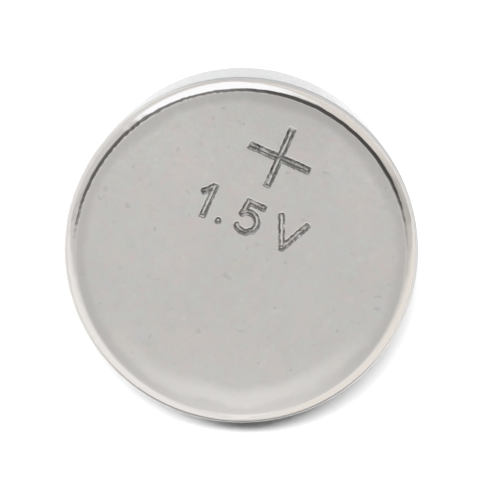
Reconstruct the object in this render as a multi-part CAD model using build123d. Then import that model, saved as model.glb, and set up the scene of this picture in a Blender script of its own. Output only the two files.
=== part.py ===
from build123d import *
import math
import os

# Button cell battery, round alkaline type, 7.9 mm across and 3.6 mm high.
#
# Row frame: millimetres, +Z up. The cell lies on its negative terminal, so the origin is the centre of
# the anode cap's flat outer face and the floor is Z = 0. +Z runs along the cell's axis and comes out of the
# positive terminal, the flat base of the can. +Y points to the top of the stamped polarity mark.
#
# Eight separate pieces, each drawn or moulded as the real one is:
#   cathode_can          deep-drawn nickel-plated steel cup, its open edge curled in over the gasket
#   anode_cap            drawn tri-clad steel cup with a shoulder and a folded-back rim
#   sealing_gasket       moulded nylon ring that insulates the cap from the can and seals the cell
#   anode_gel            zinc powder gelled with electrolyte, filling the cap
#   absorbent_separator  non-woven disc that holds electrolyte
#   barrier_film         cellophane disc on the cathode side of the absorbent
#   cathode_ring         thin L-section steel ring pressed onto the pellet, it carries the crimp load
#   cathode_pellet       pressed manganese dioxide and graphite disc

# ---------------------------------------------------------------- driving dimensions (mm)
cell_d = 7.90            # outside diameter of the can
cell_h = 3.60            # terminal face to terminal face
can_t = 0.20             # can sheet thickness
base_flat_r = 3.46       # flat contact area of the can's base
base_land_r = 3.64       # outside of the gently falling land round it
base_land_drop = 0.004   # how far the land falls
base_inner_r = 0.15      # inner corner of the base
crimp_r = 0.62           # outside radius of the curled edge
crimp_z = 0.22           # the curl's lowest line, above the negative terminal's plane
lip_r = 3.28             # radius of the can's cut edge
lip_round = 0.03         # tumbled corners of the cut edge

cap_t = 0.15             # cap sheet thickness
cap_wall_r = 2.95        # outside of the terminal step
cap_corner_r = 0.33      # outer corner of the terminal face
cap_step_z = 0.46        # where the step turns out into the shoulder
shoulder_in_r = 0.12     # concave bend of the shoulder, outside
shoulder_out_r = 0.20    # convex bend of the shoulder, outside
fold_z = 0.92            # where the folded-back layer ends
rim_z = 1.75             # end of the folded rim
fold_end_round = 0.02

gasket_end_z = 0.15      # visible end of the gasket, above the negative terminal's plane
gasket_end_round = 0.05
foot_in_r = 2.98         # inner radius of the gasket's foot
foot_t = 0.20            # thickness of the gasket's foot

absorbent_t = 0.20
barrier_t = 0.08
disc_gap = 0.02          # radial room between the separators and the can
ring_t = 0.10            # cathode ring sheet
ring_in_r = 3.15
ring_leg_h = 0.72
ring_bend_r = 0.12
pellet_gap = 0.01        # radial room between pellet or ring and the can
pellet_chamfer = 0.15

mark_depth = 0.035       # stamped marks on the base
mark_corner = 0.03       # corners of a stroke's squared end
plus_c = (-0.13, 2.38)   # polarity mark, its centre
plus_w = 1.455           # its overall width
plus_h = 1.40            # its overall height
plus_stroke = 0.160
rating_c = (-0.15, 0.89) # stamped voltage rating "1.5V", its centre
rating_h = 0.80          # overall height of its figures
rating_stroke = 0.140

R = cell_d / 2
can_in = R - can_t
crimp_c = (R - crimp_r, crimp_z + crimp_r)
skirt_r = cap_wall_r + shoulder_in_r + shoulder_out_r        # outside of the cap's inner skirt layer
skirt_out = skirt_r + cap_t                                  # outside of the folded-back layer
sh_c = cap_wall_r + shoulder_in_r                            # radius where the shoulder's two bends meet
sh_z = cap_step_z + shoulder_in_r                            # height where they meet, outside
foot_z = rim_z + foot_t
absorb_z = foot_z + absorbent_t
pellet_z = absorb_z + barrier_t
base_in = cell_h - can_t
# the can's outer edge is one bend that leaves the land along its slope and meets the wall upright
edge_start = math.degrees(math.atan2(base_land_drop, base_land_r - base_flat_r))
edge_r = (R - base_land_r) / (1 - math.sin(math.radians(edge_start)))
edge_c = (R - edge_r, cell_h - base_land_drop - edge_r * math.cos(math.radians(edge_start)))


# ---------------------------------------------------------------- profile helpers
def on_arc(c, r, deg):
    a = math.radians(deg)
    return (c[0] + r * math.cos(a), c[1] + r * math.sin(a))


class Profile:
    """A closed outline in the half plane (radius, height), turned once about Z."""

    def __init__(self, r, z):
        self.first = self.at = (r, z)
        self.edges = []

    def line(self, r, z):
        if math.dist(self.at, (r, z)) > 1e-7:
            self.edges.append(Edge.make_line((self.at[0], 0, self.at[1]), (r, 0, z)))
            self.at = (r, z)
        return self

    def arc(self, c, r, a0, a1):
        p0, pm, p1 = on_arc(c, r, a0), on_arc(c, r, (a0 + a1) / 2), on_arc(c, r, a1)
        self.line(*p0)
        self.edges.append(
            Edge.make_three_point_arc((p0[0], 0, p0[1]), (pm[0], 0, pm[1]), (p1[0], 0, p1[1]))
        )
        self.at = p1
        return self

    def turn(self):
        self.line(*self.first)
        return revolve(Face(Wire(self.edges)), Axis.Z, 360)


# ---------------------------------------------------------------- stamped marks
def stroke(p, q, w, square=(1, 1)):
    """A straight stroke from centre p to centre q. An end is squared, half a width on, or round where square has 0."""
    length = math.dist(p, q)
    ux, uy = (q[0] - p[0]) / length, (q[1] - p[1]) / length
    e0, e1 = w / 2 * square[0], w / 2 * square[1]
    mid = length / 2 + (e1 - e0) / 2
    ang = math.degrees(math.atan2(uy, ux))
    shape = Pos(p[0] + ux * mid, p[1] + uy * mid) * Rot(0, 0, ang) * RectangleRounded(length + e0 + e1, w, mark_corner)
    for at, flag in ((p, square[0]), (q, square[1])):
        if not flag:
            shape += Pos(*at) * Circle(w / 2)
    return shape


def bowl(c, r, a0, a1, w):
    """A curved stroke with round ends, of centre-line radius r."""
    band = Pos(*c) * (Circle(r + w / 2) - Circle(r - w / 2))
    reach = 3 * r
    steps = [a0 + (a1 - a0) * k / 8 for k in range(9)]
    fan = Polygon(c, *[on_arc(c, reach, s) for s in steps], align=None)
    cut = band & fan
    for a in (a0, a1):
        cut += Pos(*on_arc(c, r, a)) * Circle(w / 2)
    return cut


def marks():
    half_w, half_h = (plus_w - plus_stroke) / 2, (plus_h - plus_stroke) / 2
    x, y = plus_c
    shape = stroke((x - half_w, y), (x + half_w, y), plus_stroke)
    shape += stroke((x, y - half_h), (x, y + half_h), plus_stroke)

    w = rating_stroke
    h = rating_h - w                       # centre-line height of the figures
    x0, y0 = rating_c[0] - 1.19, rating_c[1] - h / 2
    # 1
    shape += stroke((x0 + 0.18, y0), (x0 + 0.18, y0 + h), w)
    shape += stroke((x0 + 0.18, y0 + h), (x0 + 0.01, y0 + h - 0.17), w, (0, 1))
    # point
    shape += Pos(x0 + 0.545, y0) * Circle(w / 2 * 1.05)
    # 5
    x5 = x0 + 0.92
    shape += stroke((x5 + 0.42, y0 + h), (x5 + 0.08, y0 + h), w)
    shape += stroke((x5 + 0.08, y0 + h), (x5 + 0.045, y0 + 0.37), w, (1, 0))
    shape += bowl((x5 + 0.215, y0 + 0.225), 0.225, 139, -141, w)
    # V
    xv = x0 + 1.78
    shape += stroke((xv, y0 + h), (xv + 0.30, y0), w, (1, 0))
    shape += stroke((xv + 0.60, y0 + h), (xv + 0.30, y0), w, (1, 0))
    return shape


# ---------------------------------------------------------------- the pieces
def make_can():
    p = Profile(0, cell_h)
    p.line(base_flat_r, cell_h).line(base_land_r, cell_h - base_land_drop)
    p.arc(edge_c, edge_r, 90 - edge_start, 0)
    p.arc(crimp_c, crimp_r, 0, -90)
    p.arc((lip_r + lip_round, crimp_z + lip_round), lip_round, -90, -180)
    p.arc((lip_r + lip_round, crimp_z + can_t - lip_round), lip_round, 180, 90)
    p.arc(crimp_c, crimp_r - can_t, -90, 0)
    p.arc((can_in - base_inner_r, base_in - base_inner_r), base_inner_r, 0, 90)
    p.line(0, base_in)
    can = p.turn()
    return can - extrude(Pos(0, 0, cell_h - mark_depth) * marks(), mark_depth * 3)


def make_cap():
    p = Profile(0, 0)
    face_r = cap_wall_r - cap_corner_r
    p.arc((face_r, cap_corner_r), cap_corner_r, -90, 0)
    p.arc((sh_c, cap_step_z), shoulder_in_r, 180, 90)
    p.arc((sh_c, sh_z + shoulder_out_r), shoulder_out_r, -90, 0)
    p.line(skirt_r, fold_z)
    p.arc((skirt_out - fold_end_round, fold_z + fold_end_round), fold_end_round, -90, 0)
    p.arc((skirt_r, rim_z - cap_t), cap_t, 0, 180)
    p.arc((sh_c, sh_z + shoulder_out_r), shoulder_out_r - cap_t, 0, -90)
    p.arc((sh_c, cap_step_z), shoulder_in_r + cap_t, 90, 180)
    p.arc((face_r, cap_corner_r), cap_corner_r - cap_t, 0, -90)
    p.line(0, cap_t)
    return p.turn()


def make_gasket():
    g = gasket_end_round
    p = Profile(cap_wall_r, gasket_end_z + g)
    p.arc((cap_wall_r + g, gasket_end_z + g), g, 180, 270)
    p.arc((lip_r - g, gasket_end_z + g), g, -90, 0)
    p.arc((lip_r + lip_round, crimp_z + can_t - lip_round), lip_round, 180, 90)
    p.arc(crimp_c, crimp_r - can_t, -90, 0)
    p.line(can_in, foot_z).line(foot_in_r, foot_z).line(foot_in_r, rim_z)
    p.arc((skirt_r, rim_z - cap_t), cap_t, 90, 0)
    p.arc((skirt_out - fold_end_round, fold_z + fold_end_round), fold_end_round, 0, -90)
    p.line(skirt_r, fold_z)
    p.arc((sh_c, sh_z + shoulder_out_r), shoulder_out_r, 0, -90)
    p.arc((sh_c, cap_step_z), shoulder_in_r, 90, 180)
    return p.turn()


def make_gel():
    face_r = cap_wall_r - cap_corner_r
    p = Profile(0, cap_t)
    p.arc((face_r, cap_corner_r), cap_corner_r - cap_t, -90, 0)
    p.arc((sh_c, cap_step_z), shoulder_in_r + cap_t, 180, 90)
    p.arc((sh_c, sh_z + shoulder_out_r), shoulder_out_r - cap_t, -90, 0)
    p.line(skirt_r - cap_t, rim_z - cap_t)
    p.line(foot_in_r, rim_z).line(foot_in_r, foot_z).line(0, foot_z)
    return p.turn()


def make_disc(r, z0, z1):
    return Profile(0, z0).line(r, z0).line(r, z1).line(0, z1).turn()


def make_ring():
    out = can_in - pellet_gap
    leg = out - ring_t
    b = ring_bend_r
    c = (out - b, pellet_z + b)
    p = Profile(ring_in_r, pellet_z)
    p.arc(c, b, -90, 0)
    p.line(out, pellet_z + ring_leg_h).line(leg, pellet_z + ring_leg_h)
    p.arc(c, b - ring_t, 0, -90)
    p.line(ring_in_r, pellet_z + ring_t)
    return p.turn()


def make_pellet():
    out = can_in - pellet_gap
    leg = out - ring_t
    c = (out - ring_bend_r, pellet_z + ring_bend_r)
    p = Profile(0, pellet_z)
    p.line(ring_in_r, pellet_z).line(ring_in_r, pellet_z + ring_t)
    p.arc(c, ring_bend_r - ring_t, -90, 0)
    p.line(leg, pellet_z + ring_leg_h).line(out, pellet_z + ring_leg_h)
    p.line(out, base_in - pellet_chamfer).line(out - pellet_chamfer, base_in).line(0, base_in)
    return p.turn()


parts = {
    "cathode_can": make_can(),
    "anode_cap": make_cap(),
    "sealing_gasket": make_gasket(),
    "anode_gel": make_gel(),
    "absorbent_separator": make_disc(can_in - disc_gap, foot_z, absorb_z),
    "barrier_film": make_disc(can_in - disc_gap, absorb_z, pellet_z),
    "cathode_ring": make_ring(),
    "cathode_pellet": make_pellet(),
}

os.makedirs("parts", exist_ok=True)
for name, shape in parts.items():
    export_step(shape, f"parts/{name}.step")
    print(name, "volume", round(shape.volume, 3), "mm3, valid", shape.is_valid)
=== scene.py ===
import math

import bpy
import numpy as np
from mathutils import Matrix, Vector, geometry


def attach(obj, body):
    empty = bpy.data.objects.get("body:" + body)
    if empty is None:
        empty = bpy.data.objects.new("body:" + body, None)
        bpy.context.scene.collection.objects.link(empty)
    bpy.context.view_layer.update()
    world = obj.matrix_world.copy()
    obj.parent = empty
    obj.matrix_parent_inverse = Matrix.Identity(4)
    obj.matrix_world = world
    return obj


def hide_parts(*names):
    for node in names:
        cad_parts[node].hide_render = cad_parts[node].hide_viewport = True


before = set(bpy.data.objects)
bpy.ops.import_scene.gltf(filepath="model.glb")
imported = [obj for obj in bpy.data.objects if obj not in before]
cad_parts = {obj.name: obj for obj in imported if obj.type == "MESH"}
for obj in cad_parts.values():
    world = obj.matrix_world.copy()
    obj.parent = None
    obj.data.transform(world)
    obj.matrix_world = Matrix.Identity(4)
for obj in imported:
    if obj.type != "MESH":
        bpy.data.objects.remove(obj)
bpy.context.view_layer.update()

# Lengths below are in millimetres, as in the CAD source, and become metres when a mesh is written.
MM = 0.001
SEGMENTS = 480

# ---------------------------------------------------------------- sizes shared with the CAD source
cell_d, cell_h, can_t = 7.90, 3.60, 0.20
base_flat_r, base_land_r, base_land_drop, base_inner_r = 3.46, 3.64, 0.004, 0.15
crimp_r, crimp_z, lip_r, lip_round = 0.62, 0.22, 3.28, 0.03
cap_t, cap_wall_r, cap_corner_r, cap_step_z = 0.15, 2.95, 0.33, 0.46
shoulder_in_r, shoulder_out_r = 0.12, 0.20
fold_z, rim_z, fold_end_round = 0.92, 1.75, 0.02
gasket_end_z, gasket_end_round, foot_in_r, foot_t = 0.15, 0.05, 2.98, 0.20
mark_depth = 0.035
plus_c, plus_w, plus_h, plus_stroke = (-0.13, 2.38), 1.455, 1.40, 0.160
rating_c, rating_h, rating_stroke = (-0.15, 0.89), 0.80, 0.140
mark_corner = 0.03

R = cell_d / 2
can_in = R - can_t
crimp_c = (R - crimp_r, crimp_z + crimp_r)
skirt_r = cap_wall_r + shoulder_in_r + shoulder_out_r
skirt_out = skirt_r + cap_t
sh_c = cap_wall_r + shoulder_in_r
sh_z = cap_step_z + shoulder_in_r
foot_z = rim_z + foot_t
base_in = cell_h - can_t
# the can's outer edge, a bend that leaves the land along its slope
edge_start = math.degrees(math.atan2(base_land_drop, base_land_r - base_flat_r))
edge_r = (R - base_land_r) / (1 - math.sin(math.radians(edge_start)))
edge_c = (R - edge_r, cell_h - base_land_drop - edge_r * math.cos(math.radians(edge_start)))


# the camera's own right and up, along the floor
turn = math.radians(23.9)
across = Vector((math.cos(turn), math.sin(turn), 0.0))
upward = Vector((-math.sin(turn), math.cos(turn), 0.0))
ahead = Vector((0, 0, 1))


# ---------------------------------------------------------------- outlines to turn about Z
class Outline:
    """Points (radius, height) along a piece's section."""

    def __init__(self, r, z):
        self.pts = [(r, z)]

    def line(self, r, z, step=None):
        r0, z0 = self.pts[-1]
        length = math.hypot(r - r0, z - z0)
        if length < 1e-6:
            return self
        n = max(1, int(math.ceil(length / step))) if step else 1
        for k in range(1, n + 1):
            self.pts.append((r0 + (r - r0) * k / n, z0 + (z - z0) * k / n))
        return self

    def arc(self, c, radius, a0, a1, n=12):
        for k in range(n + 1):
            a = math.radians(a0 + (a1 - a0) * k / n)
            p = (c[0] + radius * math.cos(a), c[1] + radius * math.sin(a))
            if math.hypot(p[0] - self.pts[-1][0], p[1] - self.pts[-1][1]) > 1e-5:
                self.pts.append(p)
        return self


def hold(pts, keep=0.012, longest=0.12):
    """Adds a point close beside each end of a long straight run, so smooth shading doesn't bleed into it."""
    out = [pts[0]]
    for (r0, z0), (r1, z1) in zip(pts, pts[1:]):
        length = math.hypot(r1 - r0, z1 - z0)
        if length > longest:
            for t in (keep / length, 1 - keep / length):
                out.append((r0 + (r1 - r0) * t, z0 + (z1 - z0) * t))
        out.append((r1, z1))
    return out


def turned(name, pts, segments=SEGMENTS, closed=False, ripple=False):
    """Vertices and faces of an outline turned about Z. An outline that starts or ends on the axis is capped there."""
    ang = np.linspace(0, 2 * math.pi, segments, endpoint=False)
    cos, sin = np.cos(ang), np.sin(ang)
    # the drawn edge wanders by a few thousandths of a millimetre
    wander = 0.5 * np.sin(23 * ang + 1.1) * np.sin(7 * ang + 0.3) + 0.3 * np.sin(41 * ang + 2.0) + 0.4 * np.sin(67 * ang + 0.4) * np.sin(5 * ang + 1.0)
    jag = 0.6 * np.sin(113 * ang + 0.9) * np.sin(31 * ang + 1.7) + 0.6 * np.sin(151 * ang + 2.2) * np.sin(17 * ang) + 0.4 * np.sin(193 * ang + 0.2) * np.sin(13 * ang + 2.6)
    # it is roughest over a third of the way round
    jag = jag * (0.12 + 1.15 * np.clip(np.cos(ang - math.radians(125.0 + 23.9)), 0, 1) ** 4)
    verts, rows = [], []
    for r, z in pts:
        if r < 1e-6:
            rows.append(len(verts))
            verts.append((0.0, 0.0, z))
        else:
            rows.append(np.arange(segments) + len(verts))
            rr = r
            if ripple and z > 3.3:
                notch = 1.7 * jag * min(1, max(0, (3.78 - r) / 0.08))
                rr = r + 0.006 * (wander + notch) * min(1, max(0, (r - 3.52) / 0.10)) * min(1, max(0, (3.92 - r) / 0.14))
            verts.extend(zip(rr * cos, rr * sin, np.full(segments, z)))
    faces = []
    pairs = list(zip(rows, rows[1:])) + ([(rows[-1], rows[0])] if closed else [])
    for a, b in pairs:
        for k in range(segments):
            j = (k + 1) % segments
            if isinstance(a, int):
                faces.append((a, int(b[k]), int(b[j])))
            elif isinstance(b, int):
                faces.append((int(a[k]), b, int(a[j])))
            else:
                faces.append((int(a[k]), int(b[k]), int(b[j]), int(a[j])))
    return verts, faces


def add_mesh(name, verts, faces, mm=True):
    mesh = bpy.data.meshes.new(name)
    scale = MM if mm else 1.0
    mesh.from_pydata([(x * scale, y * scale, z * scale) for x, y, z in verts], [], faces)
    mesh.validate()
    mesh.update()
    obj = bpy.data.objects.new(name, mesh)
    bpy.context.scene.collection.objects.link(obj)
    return obj


def tidy(obj, weld=1e-7, smooth=True):
    import bmesh
    bm = bmesh.new()
    bm.from_mesh(obj.data)
    if weld:
        bmesh.ops.remove_doubles(bm, verts=bm.verts, dist=weld)
    bmesh.ops.recalc_face_normals(bm, faces=bm.faces)
    for f in bm.faces:
        f.smooth = smooth
    bm.to_mesh(obj.data)
    bm.free()
    obj.data.update()
    return obj


# ---------------------------------------------------------------- stamped marks as distances from their strokes
class Marks:
    """A set of strokes. far(x, y) is the distance outside their common edge, negative inside."""

    def __init__(self):
        self.bars, self.dots, self.bows = [], [], []

    def stroke(self, p, q, w, square=(1, 1)):
        """A straight stroke from centre p to centre q. An end is squared, half a width on, or round where square has 0."""
        length = math.dist(p, q)
        u = ((q[0] - p[0]) / length, (q[1] - p[1]) / length)
        e0, e1 = w / 2 * square[0], w / 2 * square[1]
        mid = length / 2 + (e1 - e0) / 2
        c = (p[0] + u[0] * mid, p[1] + u[1] * mid)
        self.bars.append((c, u, (length + e0 + e1) / 2, w / 2))
        for at, flag in ((p, square[0]), (q, square[1])):
            if not flag:
                self.dots.append((at, w / 2))

    def dot(self, p, d):
        self.dots.append((p, d / 2))

    def bowl(self, c, r, a0, a1, w):
        self.bows.append((c, r, math.radians(min(a0, a1)), math.radians(max(a0, a1)), w / 2))

    def far(self, x, y):
        x, y = np.asarray(x, float), np.asarray(y, float)
        out = np.full(np.broadcast(x, y).shape, 9.0)
        for c, u, hl, hw in self.bars:
            along = np.abs((x - c[0]) * u[0] + (y - c[1]) * u[1]) - hl + mark_corner
            beside = np.abs((y - c[1]) * u[0] - (x - c[0]) * u[1]) - hw + mark_corner
            d = np.hypot(np.maximum(along, 0), np.maximum(beside, 0)) + np.minimum(np.maximum(along, beside), 0) - mark_corner
            out = np.minimum(out, d)
        for p, hw in self.dots:
            out = np.minimum(out, np.hypot(x - p[0], y - p[1]) - hw)
        for c, r, a0, a1, hw in self.bows:
            a = np.arctan2(y - c[1], x - c[0])
            mid = (a0 + a1) / 2
            a = mid + (a - mid + math.pi) % (2 * math.pi) - math.pi
            a = np.clip(a, a0, a1)
            out = np.minimum(out, np.hypot(x - c[0] - r * np.cos(a), y - c[1] - r * np.sin(a)) - hw)
        # a struck edge is never quite straight
        wave = np.sin(29 * x + 15 * y + 0.7) * np.sin(21 * y - 17 * x + 1.9)
        wave = wave + 0.6 * np.sin(51 * x - 37 * y + 2.6) * np.sin(43 * x + 47 * y)
        return out + 0.0060 * wave


marks = Marks()
half_w, half_h = (plus_w - plus_stroke) / 2, (plus_h - plus_stroke) / 2
marks.stroke((plus_c[0] - half_w, plus_c[1]), (plus_c[0] + half_w, plus_c[1]), plus_stroke)
marks.stroke((plus_c[0], plus_c[1] - half_h), (plus_c[0], plus_c[1] + half_h), plus_stroke)
open_ends = [(plus_c[0], plus_c[1] + plus_h / 2), (plus_c[0], plus_c[1] - plus_h / 2)]
w = rating_stroke
h = rating_h - w
x0, y0 = rating_c[0] - 1.19, rating_c[1] - h / 2
marks.stroke((x0 + 0.18, y0), (x0 + 0.18, y0 + h), w)
marks.stroke((x0 + 0.18, y0 + h), (x0 + 0.01, y0 + h - 0.17), w, (0, 1))
marks.dot((x0 + 0.545, y0), w * 1.05)
x5 = x0 + 0.92
marks.stroke((x5 + 0.42, y0 + h), (x5 + 0.08, y0 + h), w)
marks.stroke((x5 + 0.08, y0 + h), (x5 + 0.045, y0 + 0.37), w, (1, 0))
marks.bowl((x5 + 0.215, y0 + 0.225), 0.225, 139, -141, w)
xv = x0 + 1.78
marks.stroke((xv, y0 + h), (xv + 0.30, y0), w, (1, 0))
marks.stroke((xv + 0.60, y0 + h), (xv + 0.30, y0), w, (1, 0))


def loops(field, x, y, level):
    """Closed chains of points where field crosses level, by marching squares."""
    f = field - level
    f[np.abs(f) < 1e-12] = 1e-12
    inside = f < 0
    ends, chains = {}, []

    def cut(i0, j0, i1, j1):
        a, b = f[i0, j0], f[i1, j1]
        t = a / (a - b)
        return (x[j0] + (x[j1] - x[j0]) * t, y[i0] + (y[i1] - y[i0]) * t)

    code = (
        inside[:-1, :-1] * 1 + inside[:-1, 1:] * 2 + inside[1:, 1:] * 4 + inside[1:, :-1] * 8
    )
    table = {
        1: [(3, 0)], 2: [(0, 1)], 3: [(3, 1)], 4: [(1, 2)], 5: [(3, 0), (1, 2)], 6: [(0, 2)], 7: [(3, 2)],
        8: [(2, 3)], 9: [(2, 0)], 10: [(2, 3), (0, 1)], 11: [(2, 1)], 12: [(1, 3)], 13: [(1, 0)], 14: [(0, 3)],
    }
    point, follow = {}, {}
    for i, j in zip(*np.nonzero((code > 0) & (code < 15))):
        side = {
            0: ((i, j), (i, j + 1)), 1: ((i, j + 1), (i + 1, j + 1)),
            2: ((i + 1, j), (i + 1, j + 1)), 3: ((i, j), (i + 1, j)),
        }
        for a, b in table[int(code[i, j])]:
            for s in (a, b):
                if side[s] not in point:
                    (i0, j0), (i1, j1) = side[s]
                    point[side[s]] = cut(i0, j0, i1, j1)
            follow[side[a]] = side[b]
    left = dict(follow)
    while left:
        start = next(iter(left))
        chain, at = [], start
        while at in left:
            chain.append(point[at])
            at = left.pop(at)
        if at == start and len(chain) > 8:
            chains.append(np.array(chain))
    return chains


def settle(pts, far, level, rounds=3):
    """Moves points onto the exact level of far."""
    e = 1e-4
    for _ in range(rounds):
        v = far(pts[:, 0], pts[:, 1]) - level
        gx = (far(pts[:, 0] + e, pts[:, 1]) - far(pts[:, 0] - e, pts[:, 1])) / (2 * e)
        gy = (far(pts[:, 0], pts[:, 1] + e) - far(pts[:, 0], pts[:, 1] - e)) / (2 * e)
        g = np.maximum(gx * gx + gy * gy, 0.3)
        step = np.stack([v * gx / g, v * gy / g], -1)
        pts = pts - np.clip(step, -0.01, 0.01)
    return pts


def even(chain, spacing):
    closed = np.vstack([chain, chain[:1]])
    run = np.concatenate([[0], np.cumsum(np.hypot(*np.diff(closed, axis=0).T))])
    n = max(8, int(round(run[-1] / spacing)))
    s = np.linspace(0, run[-1], n, endpoint=False)
    return np.stack([np.interp(s, run, closed[:, 0]), np.interp(s, run, closed[:, 1])], -1)


# the channel that a stamp leaves: distance from the stroke's edge against height
SECTION_D = np.array([0.034, 0.023, 0.014, 0.006, -0.001, -0.007, -0.013, -0.019, -0.025, -0.032, -0.040, -0.048, -0.057, -0.066, -0.074])
SECTION_H = np.array([0.0, -0.0004, -0.0014, -0.0032, -0.0066, -0.0111, -0.0160, -0.0207, -0.0245, -0.0278, -0.0304, -0.0324, -0.0339, -0.0348, -0.0350])


def stamped_height(d):
    return np.interp(-d, -SECTION_D, SECTION_H)


def stamped_face(segments=SEGMENTS, rim=base_flat_r - 0.06):
    """The flat round face with the marks pressed into it, as vertices and triangles with its border on a ring."""
    ang = np.linspace(0, 2 * math.pi, segments, endpoint=False)
    pts = [np.stack([rim * np.cos(ang), rim * np.sin(ang)], -1)]
    edges = [[(k, (k + 1) % segments) for k in range(segments)]]
    count = segments
    # rings just inside the border and a loose lattice elsewhere
    for r, n in ((rim - 0.05, segments // 2), (rim - 0.16, segments // 4)):
        a = np.linspace(0, 2 * math.pi, n, endpoint=False) + math.pi / n
        pts.append(np.stack([r * np.cos(a), r * np.sin(a)], -1))
        count += n
    step = 0.20
    gx, gy = np.meshgrid(np.arange(-3.4, 3.4, step), np.arange(-3.4, 3.4, step * 0.866))
    gx = gx + (np.arange(gx.shape[0]) % 2)[:, None] * step / 2
    grid = np.stack([gx.ravel(), gy.ravel()], -1)
    grid = grid[np.hypot(grid[:, 0], grid[:, 1]) < rim - 0.24]
    near = marks.far(grid[:, 0], grid[:, 1])
    grid = grid[near > SECTION_D[0] + 0.05]
    pts.append(grid)
    count += len(grid)
    fine = 0.0125
    xs = np.arange(-2.2, 2.2, fine)
    ys = np.arange(0.0, 3.4, fine)
    X, Y = np.meshgrid(xs, ys)
    field = marks.far(X, Y)
    for level in SECTION_D:
        spacing = 0.018 if level < 0.02 else 0.026
        for chain in loops(field.copy(), xs, ys, level):
            chain = settle(even(settle(chain, marks.far, level), spacing), marks.far, level)
            n = len(chain)
            pts.append(chain)
            edges.append([(count + k, count + (k + 1) % n) for k in range(n)])
            count += n
    flat = np.vstack(pts)
    flat_edges = [e for part in edges for e in part]
    got = geometry.delaunay_2d_cdt([Vector(p) for p in flat], flat_edges, [], 0, 1e-5, True)
    v2 = np.array([(v.x, v.y) for v in got[0]])
    d = marks.far(v2[:, 0], v2[:, 1])
    z = cell_h + stamped_height(d)
    tris = [tuple(f) for f in got[2]]
    return np.column_stack([v2, z]), tris, rim, d


# ---------------------------------------------------------------- the pieces
def can_outline(rim):
    """From the border of the stamped face, over the edge, down the wall, round the crimp, and back inside to the axis."""
    land_z = cell_h - base_land_drop
    o = Outline(rim, cell_h)
    o.line(base_flat_r - 0.03, cell_h).line(base_flat_r, cell_h - 0.0003)
    o.line(base_flat_r + 0.03, cell_h - 0.0006).line(base_land_r, land_z, 0.05)
    o.arc(edge_c, edge_r, 90 - edge_start, 0, 36)
    o.line(R, crimp_c[1], 0.5)
    o.arc(crimp_c, crimp_r, 0, -90, 28)
    o.arc((lip_r + lip_round, crimp_z + lip_round), lip_round, -90, -180, 5)
    o.arc((lip_r + lip_round, crimp_z + can_t - lip_round), lip_round, 180, 90, 5)
    o.arc(crimp_c, crimp_r - can_t, -90, 0, 14)
    o.arc((can_in - base_inner_r, base_in - base_inner_r), base_inner_r, 0, 90, 6)
    o.line(0, base_in)
    return hold(o.pts)


def smooth(x, a, b):
    t = np.clip((np.asarray(x) - a) / (b - a), 0, 1)
    return t * t * (3 - 2 * t)


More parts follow.
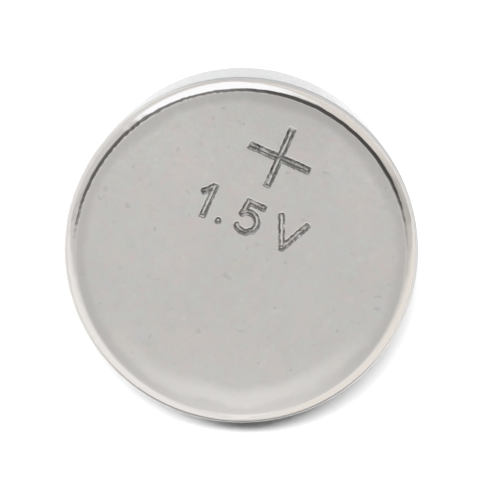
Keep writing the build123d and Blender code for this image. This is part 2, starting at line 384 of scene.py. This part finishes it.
def make_can():
    verts, tris, rim, d = stamped_face()
    lv, lf = turned("can", can_outline(rim), ripple=True)
    n = len(verts)
    obj = add_mesh("cell_can", list(verts) + list(lv), list(tris) + [tuple(i + n for i in f) for f in lf])
    # how much each point gets of a stroke's painted wall shade (the walls are also made rougher), of the painted
    # highlight on its outer shoulder and of the painted light in its bed, for the material
    # the wall shade is painted wider and darker on the side of each stroke toward upward
    e = 1e-4
    gx = (marks.far(verts[:, 0] + e, verts[:, 1]) - marks.far(verts[:, 0] - e, verts[:, 1])) / (2 * e)
    gy = (marks.far(verts[:, 0], verts[:, 1] + e) - marks.far(verts[:, 0], verts[:, 1] - e)) / (2 * e)
    toward_upward = gx * upward.x + gy * upward.y
    x, y = verts[:, 0], verts[:, 1]
    blob = 0.5 * np.sin(17.0 * x + 9.0 * y + 0.7) * np.sin(23.0 * y - 8.0 * x + 2.1) + 0.5 * np.sin(41.0 * x - 13.0 * y + 1.3) * np.sin(37.0 * y + 19.0 * x)
    wide = 0.006 * np.clip(toward_upward, 0, 1) + 0.012 * blob
    near = 0.008 * np.clip(-toward_upward, 0, 1)
    # on the rating the painted wall shade is narrower and a little fainter than on the polarity mark, and the painted
    # bed light reaches nearer its edge
    thin = np.where(y < 1.7, 0.014, 0.0)
    wall = smooth(d, 0.005 + 0.3 * wide + near, -0.007 + 0.3 * wide + near) * smooth(d, -0.070 + thin - wide, -0.048 + thin - wide)
    wall = wall * (0.90 + 0.10 * np.clip(toward_upward, -1, 1) - 4.0 * thin)
    # on the side of each stroke away from upward the painted wall shade is lessened outside a narrow band, leaving an
    # even grey
    middle = smooth(d, 0.001, -0.008) * smooth(d, -0.036, -0.024)
    wall = wall * (1 - 0.50 * np.clip(-toward_upward, 0, 1) * (1 - middle) * np.where(y < 1.7, 0.6, 1.0))
    # strokes that run along across get painted grey shade right over their bottom, and so does the crossing of the plus
    flat = np.clip(toward_upward * toward_upward, 0, 1)
    wall = np.maximum(wall, flat * np.clip(0.60 + 0.35 * blob, 0, 1) * smooth(d, -0.045 + thin, -0.060 + thin))
    crossing = np.exp(-((x - plus_c[0]) ** 2 + (y - plus_c[1]) ** 2) / 0.10 ** 2) * smooth(d, -0.02, -0.05)
    wall = np.maximum(wall, crossing * np.clip(0.55 + 0.5 * blob, 0, 1))
    # here and there the painted outline is lightened, so that it nearly breaks
    shade_gap = np.clip(np.sin(9.0 * x + 5.0 * y + 0.4) * np.sin(7.0 * y - 6.0 * x + 1.0) + 0.35 * blob - 0.45, 0, 0.6)
    wall = wall * (1 - 1.1 * shade_gap)
    for (ex, ey), fade in zip(open_ends, (0.85, 0.50)):
        wall = wall * (1 - fade * np.exp(-(((x - ex) ** 2 + (y - ey) ** 2) / 0.065 ** 2)))
    # painted highlight on the outer shoulder of each stroke, brighter on its side toward upward
    painted_lip_highlight = smooth(d, 0.032, 0.012) * smooth(d, -0.004, 0.003) * np.clip(0.62 + 0.38 * toward_upward + 0.5 * blob, 0, 1)
    # painted light in the bottom of each stroke, mostly left out where the stroke runs along across
    painted_bed_light = smooth(d, -0.050 + thin, -0.066 + thin) * (1 - 0.8 * flat)
    for name, values in (("torn_and_shade", wall), ("painted_lip_highlight", painted_lip_highlight), ("painted_bed_light", painted_bed_light)):
        layer = obj.data.attributes.new(name, "FLOAT", "POINT")
        layer.data.foreach_set("value", np.concatenate([values, np.zeros(len(lv))]).astype(np.float32))
    return tidy(obj)


def make_cap():
    face_r = cap_wall_r - cap_corner_r
    o = Outline(0, 0)
    o.line(0.02, 0).line(face_r, 0, 0.4)
    o.arc((face_r, cap_corner_r), cap_corner_r, -90, 0, 18)
    o.arc((sh_c, cap_step_z), shoulder_in_r, 180, 90, 10)
    o.arc((sh_c, sh_z + shoulder_out_r), shoulder_out_r, -90, 0, 12)
    o.line(skirt_r, fold_z)
    o.arc((skirt_out - fold_end_round, fold_z + fold_end_round), fold_end_round, -90, 0, 4)
    o.arc((skirt_r, rim_z - cap_t), cap_t, 0, 180, 18)
    o.arc((sh_c, sh_z + shoulder_out_r), shoulder_out_r - cap_t, 0, -90, 5)
    o.arc((sh_c, cap_step_z), shoulder_in_r + cap_t, 90, 180, 12)
    o.arc((face_r, cap_corner_r), cap_corner_r - cap_t, 0, -90, 10)
    o.line(0.02, cap_t).line(0, cap_t)
    return tidy(add_mesh("cell_cap", *turned("cap", hold(o.pts))))


def make_gasket():
    g = gasket_end_round
    o = Outline(cap_wall_r, gasket_end_z + g)
    o.arc((cap_wall_r + g, gasket_end_z + g), g, 180, 270, 5)
    o.arc((lip_r - g, gasket_end_z + g), g, -90, 0, 5)
    o.arc((lip_r + lip_round, crimp_z + can_t - lip_round), lip_round, 180, 90, 5)
    o.arc(crimp_c, crimp_r - can_t, -90, 0, 14)
    o.line(can_in, foot_z).line(foot_in_r, foot_z).line(foot_in_r, rim_z)
    o.arc((skirt_r, rim_z - cap_t), cap_t, 90, 0, 9)
    o.arc((skirt_out - fold_end_round, fold_z + fold_end_round), fold_end_round, 0, -90, 4)
    o.line(skirt_r, fold_z)
    o.arc((sh_c, sh_z + shoulder_out_r), shoulder_out_r, 0, -90, 12)
    o.arc((sh_c, cap_step_z), shoulder_in_r, 90, 180, 10)
    return tidy(add_mesh("cell_gasket", *turned("gasket", hold(o.pts), closed=True)))


can = make_can()
cap = make_cap()
gasket = make_gasket()


# ---------------------------------------------------------------- materials
class Nodes:
    """Short names for building a material's nodes."""

    def __init__(self, name):
        self.mat = bpy.data.materials.new(name)
        self.mat.use_nodes = True
        self.tree = self.mat.node_tree
        self.bsdf = self.tree.nodes["Principled BSDF"]

    def node(self, kind, **settings):
        n = self.tree.nodes.new(kind)
        for k, v in settings.items():
            setattr(n, k, v)
        return n

    def link(self, a, b):
        self.tree.links.new(a, b)

    def value(self, socket, x):
        if isinstance(x, (int, float)):
            socket.default_value = x
        elif isinstance(x, (tuple, list)):
            socket.default_value = x if len(x) != 3 or socket.type != "RGBA" else (*x, 1)
        else:
            self.link(x, socket)

    def place(self):
        return self.node("ShaderNodeTexCoord").outputs["Object"]

    def noise(self, vector, scale, detail=4, rough=0.5, distortion=0.0):
        n = self.node("ShaderNodeTexNoise")
        self.link(vector, n.inputs["Vector"])
        n.inputs["Scale"].default_value = scale
        n.inputs["Detail"].default_value = detail
        n.inputs["Roughness"].default_value = rough
        n.inputs["Distortion"].default_value = distortion
        return n.outputs["Fac"]

    def ramp(self, x, a, b, lo=0.0, hi=1.0, smooth=True):
        n = self.node("ShaderNodeMapRange", interpolation_type="SMOOTHSTEP" if smooth else "LINEAR")
        self.value(n.inputs["Value"], x)
        for k, v in (("From Min", a), ("From Max", b), ("To Min", lo), ("To Max", hi)):
            n.inputs[k].default_value = v
        return n.outputs["Result"]

    def math(self, op, a, b=0.0, c=0.0):
        n = self.node("ShaderNodeMath", operation=op)
        self.value(n.inputs[0], a)
        self.value(n.inputs[1], b)
        self.value(n.inputs[2], c)
        return n.outputs[0]

    def mix(self, fac, a, b):
        n = self.node("ShaderNodeMix", data_type="RGBA")
        self.value(n.inputs[0], fac)
        self.value(n.inputs[6], a)
        self.value(n.inputs[7], b)
        return n.outputs[2]

    def bump(self, height, distance, strength=1.0, normal=None):
        n = self.node("ShaderNodeBump")
        n.inputs["Strength"].default_value = strength
        n.inputs["Distance"].default_value = distance
        self.link(height, n.inputs["Height"])
        if normal is not None:
            self.link(normal, n.inputs["Normal"])
        return n.outputs["Normal"]


def nickel(name, tone=(0.66, 0.641, 0.617), rough=0.13, struck=False, glance=0.78):
    m = Nodes(name)
    at = m.place()
    broad = m.noise(at, 420, 3, 0.55)
    patch = m.noise(at, 1150, 2, 0.5, 0.3)
    fine = m.noise(at, 9000, 3, 0.6)
    light = tuple(min(1.0, c * 1.02) for c in tone)
    dark = tuple(c * 0.97 for c in tone)
    base = m.mix(m.ramp(broad, 0.35, 0.65), dark, light)
    base = m.mix(m.ramp(patch, 0.50, 0.68, 0.0, 0.75), base, (tone[0] * 1.035, tone[1] * 0.985, tone[2] * 0.985))
    base = m.mix(m.ramp(patch, 0.50, 0.34, 0.0, 0.75), base, (tone[0] * 0.970, tone[1] * 0.997, tone[2] * 1.0))
    cloud = m.noise(at, 5200, 3, 0.65)
    base = m.mix(m.ramp(cloud, 0.50, 0.72, 0.0, 0.8), base, (tone[0] * 1.046, tone[1] * 0.950, tone[2] * 0.980))
    base = m.mix(m.ramp(cloud, 0.50, 0.28, 0.0, 0.8), base, (tone[0] * 0.945, tone[1] * 1.024, tone[2] * 1.000))
    cold = m.noise(at, 3700, 3, 0.7)
    base = m.mix(m.ramp(cold, 0.52, 0.74, 0.0, 0.6), base, (tone[0] * 0.975, tone[1] * 0.985, tone[2] * 1.045))
    base = m.mix(m.ramp(cold, 0.48, 0.28, 0.0, 0.6), base, (tone[0] * 1.010, tone[1] * 1.000, tone[2] * 0.945))
    tint = m.noise(at, 3100, 5, 0.8)
    base = m.mix(m.ramp(tint, 0.52, 0.75, 0.0, 0.7), base, tuple(c * 1.075 for c in tone))
    base = m.mix(m.ramp(tint, 0.48, 0.28, 0.0, 0.7), base, tuple(c * 0.915 for c in tone))
    base = m.mix(m.ramp(m.noise(at, 4300, 2, 0.5), 0.67, 0.76, 0.0, 0.60), base, tuple(c * 0.80 for c in tone))
    rough_out = m.ramp(fine, 0.3, 0.7, rough - 0.03, rough + 0.04)
    if struck:
        xyz = m.node("ShaderNodeSeparateXYZ")
        m.link(at, xyz.inputs[0])
        x, y, z = xyz.outputs[0], xyz.outputs[1], xyz.outputs[2]
        out = m.math("SQRT", m.math("ADD", m.math("MULTIPLY", x, x), m.math("MULTIPLY", y, y)))
        # painted light brightens a band of the face on the side away from upward; the land round the flat is darkened,
        # less on that side, where painted light lifts it; the bend outside it is burnished by the die; and painted
        # shade darkens and cools the drawn wall
        uneven = m.math("ADD", out, m.ramp(m.noise(at, 900, 3, 0.6), 0.3, 0.7, -0.00009, 0.00009, smooth=False))
        lift = m.node("ShaderNodeVectorMath", operation="DOT_PRODUCT")
        m.link(at, lift.inputs[0])
        lift.inputs[1].default_value = tuple(-upward)
        near = m.ramp(m.math("DIVIDE", lift.outputs["Value"], m.math("MAXIMUM", out, 0.0001)), 0.48, 1.0, smooth=False)
        inside = m.ramp(out, 0.00365, 0.00362)
        # painted light: the face is brightened by a fifth in a band round its edge, on the side away from upward
        painted_sheen = m.math("MULTIPLY", m.math("MULTIPLY", m.ramp(uneven, 0.00290, 0.00326), inside), near)
        base = m.mix(painted_sheen, base, tuple(min(1.0, c * 1.20) for c in tone))
        # the land ring is darkened all round, and painted light weakens the darkening on the side away from upward
        land = m.math("MULTIPLY", m.ramp(uneven, 0.00334, 0.00356), inside)
        base = m.mix(m.math("MULTIPLY", land, m.ramp(near, 0.0, 1.0, 0.70, 0.50)), base, tuple(c * 0.85 for c in tone))
        bend = m.math("MULTIPLY", m.ramp(out, 0.00363, 0.00370), m.ramp(z, 0.00338, 0.00350))
        base = m.mix(bend, base, (tone[0] * 1.30, tone[1] * 1.28, tone[2] * 1.285))
        rough_out = m.math("MULTIPLY", rough_out, m.ramp(bend, 0.0, 1.0, 1.0, 0.5))
        # painted shade: the drawn wall below the bend is darkened and cooled, its upper edge set lower on the left side
        left = m.node("ShaderNodeVectorMath", operation="DOT_PRODUCT")
        m.link(at, left.inputs[0])
        left.inputs[1].default_value = tuple(-across)
        left = m.ramp(m.math("DIVIDE", left.outputs["Value"], m.math("MAXIMUM", out, 0.0001)), 0.10, 0.55)
        side = m.ramp(m.math("ADD", z, m.math("MULTIPLY", left, 0.00007)), 0.00346, 0.00338)
        base = m.mix(side, base, (tone[0] * 0.61, tone[1] * 0.64, tone[2] * 0.665))
        # the stamped strokes: painted shade on their walls, which are also made rougher, a painted highlight on their
        # outer shoulder, and painted light in their bed
        torn_and_shade = m.node("ShaderNodeAttribute", attribute_name="torn_and_shade").outputs["Fac"]
        painted_lip_highlight = m.node("ShaderNodeAttribute", attribute_name="painted_lip_highlight").outputs["Fac"]
        painted_bed_light = m.node("ShaderNodeAttribute", attribute_name="painted_bed_light").outputs["Fac"]
        wall = m.math("MULTIPLY", torn_and_shade, m.ramp(m.noise(at, 7000, 3, 0.6), 0.30, 0.62, 0.56, 1.0))
        base = m.mix(painted_lip_highlight, base, tuple(min(1.0, c * 1.18) for c in tone))
        base = m.mix(painted_bed_light, base, tuple(min(1.0, c * 1.15) for c in tone))
        base = m.mix(wall, base, tuple(c * 0.13 for c in tone))
        rough_out = m.math("ADD", rough_out, m.math("MULTIPLY", wall, 0.34))
    m.link(base, m.bsdf.inputs["Base Color"])
    m.bsdf.inputs["Metallic"].default_value = 1.0
    m.bsdf.inputs["Specular Tint"].default_value = (glance, glance, glance, 1.0)
    m.link(rough_out, m.bsdf.inputs["Roughness"])
    grain = m.bump(m.noise(at, 12000, 3, 0.55), 0.0000006)
    m.link(grain, m.bsdf.inputs["Normal"])
    return m.mat


def plain(name, tone, rough, metallic=0.0, scale=2500, depth=0.000002, spread=0.06):
    m = Nodes(name)
    at = m.place()
    n = m.noise(at, scale, 4, 0.6)
    light = tuple(min(1.0, c * (1 + spread)) for c in tone)
    dark = tuple(c * (1 - spread) for c in tone)
    m.link(m.mix(m.ramp(n, 0.3, 0.7), dark, light), m.bsdf.inputs["Base Color"])
    m.bsdf.inputs["Metallic"].default_value = metallic
    m.link(m.ramp(n, 0.3, 0.7, rough - 0.05, rough + 0.05), m.bsdf.inputs["Roughness"])
    m.link(m.bump(m.noise(at, scale * 2, 3, 0.5), depth), m.bsdf.inputs["Normal"])
    return m.mat


can.data.materials.append(nickel("nickel_can", struck=True))
# the drawn wall gets a shaded copy of the can's material that shines less at a glance: painted shade
can.data.materials.append(nickel("nickel_wall_painted_shade", struck=True, glance=0.68))
for face in can.data.polygons:
    face.material_index = 1 if face.center.z < 0.0034 else 0
cap.data.materials.append(nickel("nickel_cap", (0.70, 0.685, 0.65), 0.26))
gasket.data.materials.append(plain("nylon", (0.62, 0.60, 0.54), 0.45))

inner = {
    "anode_gel": plain("zinc_gel", (0.30, 0.31, 0.33), 0.35, 0.4, 6000, 0.00001, 0.3),
    "absorbent_separator": plain("nonwoven", (0.80, 0.79, 0.75), 0.9, 0.0, 5000, 0.00001, 0.1),
    "barrier_film": plain("cellophane", (0.72, 0.60, 0.34), 0.2, 0.0, 800, 0.000002, 0.05),
    "cathode_ring": nickel("nickel_ring"),
    "cathode_pellet": plain("cathode_mix", (0.035, 0.035, 0.038), 0.55, 0.0, 5000, 0.000008, 0.3),
}
for node, mat in inner.items():
    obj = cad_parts[node]
    obj.data.materials.clear()
    obj.data.materials.append(mat)

for obj, node, slot in (
    (can, "cathode_can", "nickel_plated_steel"),
    (cap, "anode_cap", "nickel_clad_cap"),
    (gasket, "sealing_gasket", "gasket_nylon"),
):
    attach(obj, "root")
    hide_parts(node)


# ---------------------------------------------------------------- floor
def make_floor():
    # cut out where the cell hides it, so that the terminal isn't mirrored in its own shade
    rings = [0.0030, 0.005, 0.008, 0.016, 0.04, 0.1, 0.3, 1.0]
    verts, faces = [], []
    n = 96
    for r in rings:
        verts += [(r * math.cos(2 * math.pi * k / n), r * math.sin(2 * math.pi * k / n), 0.0) for k in range(n)]
    for i in range(len(rings) - 1):
        a, b = i * n, (i + 1) * n
        faces += [(a + k, b + k, b + (k + 1) % n, a + (k + 1) % n) for k in range(n)]
    obj = add_mesh("floor", verts, faces, mm=False)
    m = Nodes("floor_paper")
    at = m.place()
    away = m.node("ShaderNodeVectorMath", operation="LENGTH")
    m.link(at, away.inputs[0])
    paper = m.mix(m.noise(at, 3000, 2), (0.795, 0.795, 0.795), (0.815, 0.815, 0.815))
    aside = m.node("ShaderNodeVectorMath", operation="DOT_PRODUCT")
    m.link(at, aside.inputs[0])
    aside.inputs[1].default_value = tuple(across)
    # painted pool of light: the paper is brightest round the cell and dims past 7 to 12 mm, most along upward, ahead of
    # and behind the cell
    beyond_painted_dim = m.mix(m.ramp(m.math("ABSOLUTE", aside.outputs["Value"]), 0.006, 0.018), (0.46, 0.46, 0.46), (0.55, 0.55, 0.55))
    ahead_of = m.node("ShaderNodeVectorMath", operation="DOT_PRODUCT")
    m.link(at, ahead_of.inputs[0])
    ahead_of.inputs[1].default_value = tuple(-upward)
    # painted shade: a dark patch on the paper ahead of the cell, 7 to 22 mm out and narrow across, for the rim's lower
    # edge to mirror
    front_painted_shade = m.math("MULTIPLY", m.ramp(ahead_of.outputs["Value"], 0.0150, 0.0220, 1.0, 0.0), m.ramp(ahead_of.outputs["Value"], 0.0069, 0.0090))
    front_painted_shade = m.math("MULTIPLY", front_painted_shade, m.ramp(m.math("ABSOLUTE", aside.outputs["Value"]), 0.005, 0.015, 1.0, 0.0))
    paper = m.mix(m.ramp(away.outputs["Value"], 0.0072, 0.0125), paper, beyond_painted_dim)
    paper = m.mix(front_painted_shade, paper, (0.20, 0.20, 0.20))
    m.link(paper, m.bsdf.inputs["Base Color"])
    m.bsdf.inputs["Roughness"].default_value = 0.9
    m.bsdf.inputs["Specular IOR Level"].default_value = 0.0
    through = m.node("ShaderNodeBsdfTransparent")
    under = m.node("ShaderNodeMixShader")
    m.link(m.node("ShaderNodeNewGeometry").outputs["Backfacing"], under.inputs[0])
    m.link(m.bsdf.outputs[0], under.inputs[1])
    m.link(through.outputs[0], under.inputs[2])
    m.link(under.outputs[0], m.tree.nodes["Material Output"].inputs["Surface"])
    obj.data.materials.append(m.mat)
    obj.visible_shadow = False
    return obj


floor = make_floor()

# ---------------------------------------------------------------- camera
tilt, yaw, reach, focal_px = math.radians(12.89), math.radians(0.61), 29.1, 1315.0
c = across * (math.sin(yaw) * math.cos(tilt)) + upward * math.sin(tilt) + ahead * (math.cos(yaw) * math.cos(tilt))
eye = Vector((0, 0, cell_h)) + c * reach
fwd = -c
right = fwd.cross(upward).normalized()
up = right.cross(fwd)
look = (fwd + up * (17.3 / focal_px) - right * (0.8 / focal_px)).normalized()
right = look.cross(upward).normalized()
up = right.cross(look)
cam_data = bpy.data.cameras.new("camera")
cam_data.sensor_width = 36.0
cam_data.lens = 36.0 * focal_px / 480
cam_data.clip_start, cam_data.clip_end = 0.0005, 10.0
cam = bpy.data.objects.new("camera", cam_data)
cam.matrix_world = Matrix((
    (right.x, up.x, -look.x, eye.x * MM),
    (right.y, up.y, -look.y, eye.y * MM),
    (right.z, up.z, -look.z, eye.z * MM),
    (0, 0, 0, 1),
))
bpy.context.scene.collection.objects.link(cam)
bpy.context.scene.camera = cam

# ---------------------------------------------------------------- studio light
scene = bpy.context.scene
scene.view_settings.view_transform = "Standard"
scene.view_settings.look = "None"
scene.view_settings.exposure = 0.0
scene.view_settings.gamma = 1.0


def aim(obj, at, target=(0, 0, 0)):
    at, target = Vector(at), Vector(target)
    obj.location = at * MM
    obj.rotation_mode = "QUATERNION"
    obj.rotation_quaternion = (at - target).to_track_quat("Z", "Y")


def from_zenith(lengthways, sideways, distance):
    """A point seen from the cell at these angles off the zenith, in degrees."""
    v = ahead + upward * math.tan(math.radians(lengthways)) + across * math.tan(math.radians(sideways))
    return v.normalized() * distance


def lamp(name, kind, energy, at, **settings):
    data = bpy.data.lights.new(name, kind)
    data.energy = energy
    for k, v in settings.items():
        setattr(data, k, v)
    obj = bpy.data.objects.new(name, data)
    aim(obj, at)
    bpy.context.scene.collection.objects.link(obj)
    obj.visible_camera = False
    obj.visible_glossy = False
    return obj


# the main light is a strip of lamps past the far edge and throws the short shadow, wide panels above and below fill it
for k in range(5):
    lamp("key_%d" % k, "SUN", 0.84, from_zenith(23.5, -9.6 + 3.8 * k, 200.0), angle=math.radians(4.0))
# its ends are weaker and spread the shadow a little to left and right
for k, (sideways, strength) in enumerate(((-20.0, 0.29), (-14.0, 0.31), (11.0, 0.26), (17.0, 0.22))):
    lamp("end_%d" % k, "SUN", strength, from_zenith(25.0, sideways, 200.0), angle=math.radians(6.0))
lamp("fill", "AREA", 0.026, (0, 0, 120.0), shape="DISK", size=0.24)
lamp("below", "AREA", 0.063, (0, 0, -60.0), shape="DISK", size=0.12)

world = bpy.data.worlds.new("studio")
scene.world = world
world.use_nodes = True
world.cycles_visibility.diffuse = False
wt = world.node_tree
for n in list(wt.nodes):
    wt.nodes.remove(n)


def wnode(kind, **settings):
    n = wt.nodes.new(kind)
    for k, v in settings.items():
        setattr(n, k, v)
    return n


def wval(socket, x):
    if isinstance(x, (int, float)):
        socket.default_value = x
    elif isinstance(x, (tuple, list, Vector)):
        socket.default_value = tuple(x)
    else:
        wt.links.new(x, socket)


def wmath(op, a, b=0.0, c=0.0):
    n = wnode("ShaderNodeMath", operation=op)
    for s, v in zip(n.inputs, (a, b, c)):
        wval(s, v)
    return n.outputs[0]


def wramp(x, a, b, lo=0.0, hi=1.0):
    n = wnode("ShaderNodeMapRange", interpolation_type="SMOOTHSTEP")
    wval(n.inputs["Value"], x)
    for k, v in (("From Min", a), ("From Max", b), ("To Min", lo), ("To Max", hi)):
        n.inputs[k].default_value = v
    return n.outputs["Result"]


def wdot(a, b):
    n = wnode("ShaderNodeVectorMath", operation="DOT_PRODUCT")
    wval(n.inputs[0], a)
    wval(n.inputs[1], b)
    return n.outputs["Value"]


toward = wnode("ShaderNodeTexCoord").outputs["Generated"]
dx, dy, dz = wdot(toward, across), wdot(toward, upward), wdot(toward, ahead)
up_z = wmath("MAXIMUM", dz, 0.02)
# angles off the zenith in degrees, sideways and lengthways
ax = wmath("MULTIPLY", wmath("ARCTAN2", dx, up_z), 57.2958)
ay = wmath("MULTIPLY", wmath("ARCTAN2", dy, up_z), 57.2958)
side = wmath("MULTIPLY", wmath("ARCTAN2", dx, wmath("MAXIMUM", dy, 0.001)), 57.2958)

# the tent's walls, brighter low down on the near side and dimmer to left and right
wide = wmath("ABSOLUTE", ax)
off = wramp(wide, 10.0, 26.0)
spot = wmath("ADD", wramp(ay, -18.4, -20.5, 0.0, 0.13), wramp(ay, -22.0, -27.0, 0.0, 0.02))
sky = wmath("ADD", 0.82, wmath("MULTIPLY", spot, wramp(wide, 3.0, 7.5, 1.0, 0.12)))
sky = wmath("ADD", sky, wmath("MULTIPLY", wmath("ADD", wramp(ay, -10.5, -8.5, 0.0, 0.06), wramp(ay, -7.3, -5.8, 0.0, -0.07)), wramp(wide, 6.0, 12.0, 1.0, 0.0)))
sky = wmath("ADD", sky, wmath("MULTIPLY", wramp(ay, -86.0, -91.0, 0.0, -0.15), wramp(wide, 12.0, 40.0, 1.0, 0.0)))
sky = wmath("SUBTRACT", sky, wmath("MULTIPLY", wramp(ax, 18.0, 26.0, 0.0, 0.05), wramp(ay, 2.0, -6.0)))
sky = wmath("ADD", sky, wmath("MULTIPLY", wramp(ay, -24.0, -40.0, 0.0, 0.04), wramp(wide, 3.0, 10.0)))
sky = wmath("ADD", sky, wmath("MULTIPLY", wramp(ay, -24.0, -38.0, 0.0, 0.07), off))
sky = wmath("ADD", sky, wmath("MULTIPLY", wramp(ay, -84.0, -90.0, 0.0, -0.40), wramp(wide, 25.0, 50.0, 1.0, 0.0)))
sky = wmath("ADD", sky, wramp(ay, -5.0, 6.0, 0.0, -0.10))
sky = wmath("SUBTRACT", sky, wmath("MULTIPLY", wmath("MULTIPLY", wramp(ay, -10.0, -6.0), wramp(ax, -3.0, 1.5)), 0.09))
sky = wmath("SUBTRACT", sky, wmath("MULTIPLY", wmath("MULTIPLY", off, wramp(ay, -24.0, -14.0)), 0.16))
sky = wmath("ADD", sky, wmath("MULTIPLY", wramp(wide, 34.0, 70.0), wramp(ay, -30.0, -14.0, 0.0, 0.03)))
sky = wmath("ADD", sky, wmath("MULTIPLY", wmath("MULTIPLY", wramp(ax, -26.0, -36.0), wramp(ay, 8.0, 20.0)), 0.10))
sky = wmath("ADD", sky, wmath("MULTIPLY", wmath("MULTIPLY", wramp(ax, 22.0, 32.0), wramp(side, 58.0, 80.0, 1.0, 0.30)), wmath("MULTIPLY", wramp(ay, 11.0, 27.0), 0.29)))
# the gap in the tent where the camera stands
low = wmath("SUBTRACT", 6.0, wmath("MULTIPLY", wmath("MULTIPLY", wmath("MAXIMUM", ax, 0.0), wmath("MAXIMUM", ax, 0.0)), 0.070))
low = wmath("ADD", low, wmath("ADD", wramp(ax, -1.0, -7.0, 0.0, 3.5), wramp(ax, -12.5, -20.5, 0.0, -19.5)))
low = wmath("MAXIMUM", low, wramp(ax, -6.0, 6.0, -10.0, -12.5))
ex = wmath("DIVIDE", wmath("SUBTRACT", ax, 4.0), wramp(ax, -4.0, 4.0, 47.0, 41.0))
ex = wmath("MULTIPLY", ex, wmath("ADD", 1.0, wmath("MULTIPLY", wramp(ay, 12.0, -5.0, 0.0, 0.24), wramp(ax, 0.0, 10.0))))
ey = wmath("DIVIDE", ay, 35.0)
ex, ey = wmath("MULTIPLY", ex, ex), wmath("MULTIPLY", ey, ey)
oval = wmath("SQRT", wmath("ADD", ex, ey))
boxy = wmath("SQRT", wmath("SQRT", wmath("ADD", wmath("MULTIPLY", ex, ex), wmath("MULTIPLY", ey, ey))))
left = wramp(ax, -5.0, -12.0)
out_of = wmath("ADD", wmath("MULTIPLY", oval, wmath("SUBTRACT", 1.0, left)), wmath("MULTIPLY", boxy, left))
above = wmath("SUBTRACT", ay, low)
dark = wmath("MULTIPLY", wramp(above, -1.5, 2.0), wramp(out_of, 0.88, 1.06, 1.0, 0.0))
depth = wmath("ADD", wmath("ADD", wramp(ax, -4.0, 8.0, 0.68, 0.85), wramp(ax, -12.0, -22.0, 0.0, -0.09)), wramp(side, -50.0, -60.0, 0.0, 0.16))
depth = wmath("MULTIPLY", depth, wmath("ADD", wmath("MULTIPLY", wramp(ax, -4.0, 4.0, 1.0, 0.0), wramp(ay, -12.0, -2.0, 0.35, 1.0)), wmath("MULTIPLY", wramp(ax, -4.0, 4.0), wramp(ay, -13.0, 0.0, 0.15, 1.0))))
sky = wmath("MULTIPLY", sky, wmath("SUBTRACT", 1.0, wmath("MULTIPLY", dark, depth)))
# the lit panel behind it, tapering to the right
low_strip = wmath("ADD", wramp(side, -5.0, -20.0, 29.5, 27.0), wmath("MULTIPLY", wmath("MAXIMUM", side, 0.0), 0.17))
low_strip = wmath("ADD", low_strip, wmath("MULTIPLY", wmath("MAXIMUM", wmath("SUBTRACT", -22.0, side), 0.0), 0.18))
top_strip = wmath("SUBTRACT", wmath("ADD", 86.0, wmath("ADD", wramp(side, 0.0, -4.0, 0.0, 6.0), wramp(side, -10.0, -20.0, 0.0, -6.0))), wmath("MULTIPLY", wmath("MAXIMUM", side, 0.0), 1.0))
top_strip = wmath("SUBTRACT", top_strip, wmath("MULTIPLY", wmath("MAXIMUM", wmath("SUBTRACT", -24.0, side), 0.0), 0.45))
strip = wmath("MULTIPLY", wramp(wmath("SUBTRACT", ay, low_strip), -2.0, 2.5), wramp(wmath("SUBTRACT", ay, top_strip), -4.0, 5.0, 1.0, 0.0))
strip = wmath("MULTIPLY", strip, wmath("MULTIPLY", wramp(side, -53.0, -40.0), wramp(side, 10.0, 44.0, 1.0, 0.0)))
sky = wmath("ADD", wmath("MULTIPLY", sky, wmath("SUBTRACT", 1.0, strip)), wmath("MULTIPLY", strip, 1.17))
# the table beyond the paper
level = wramp(dz, -0.02, 0.0)
sky = wmath("ADD", wmath("MULTIPLY", sky, level), wmath("MULTIPLY", wmath("SUBTRACT", 1.0, level), 0.85))
seen = wnode("ShaderNodeLightPath").outputs["Is Camera Ray"]
final = wmath("ADD", wmath("MULTIPLY", seen, 0.85), wmath("MULTIPLY", wmath("SUBTRACT", 1.0, seen), sky))
bg = wnode("ShaderNodeBackground")
bg.inputs["Color"].default_value = (1, 1, 1, 1)
wt.links.new(final, bg.inputs["Strength"])


def wmix(fac, a, b):
    n = wnode("ShaderNodeMix")
    n.data_type = "RGBA"
    wt.links.new(fac, n.inputs[0])
    for socket, v in ((n.inputs[6], a), (n.inputs[7], b)):
        if isinstance(v, tuple):
            socket.default_value = (*v, 1.0)
        else:
            wt.links.new(v, socket)
    return n.outputs[2]


# the strip is a cooler lamp than the room, which is warmest on the right
unseen = wmath("SUBTRACT", 1.0, seen)
tint = wmix(wmath("MULTIPLY", unseen, wramp(ax, 12.0, 30.0)), (1.0, 1.0, 1.0), (1.012, 0.995, 0.955))
tint = wmix(wmath("MULTIPLY", unseen, strip), tint, (0.965, 1.0, 1.045))
wt.links.new(tint, bg.inputs["Color"])
out = wnode("ShaderNodeOutputWorld")
wt.links.new(bg.outputs[0], out.inputs["Surface"])
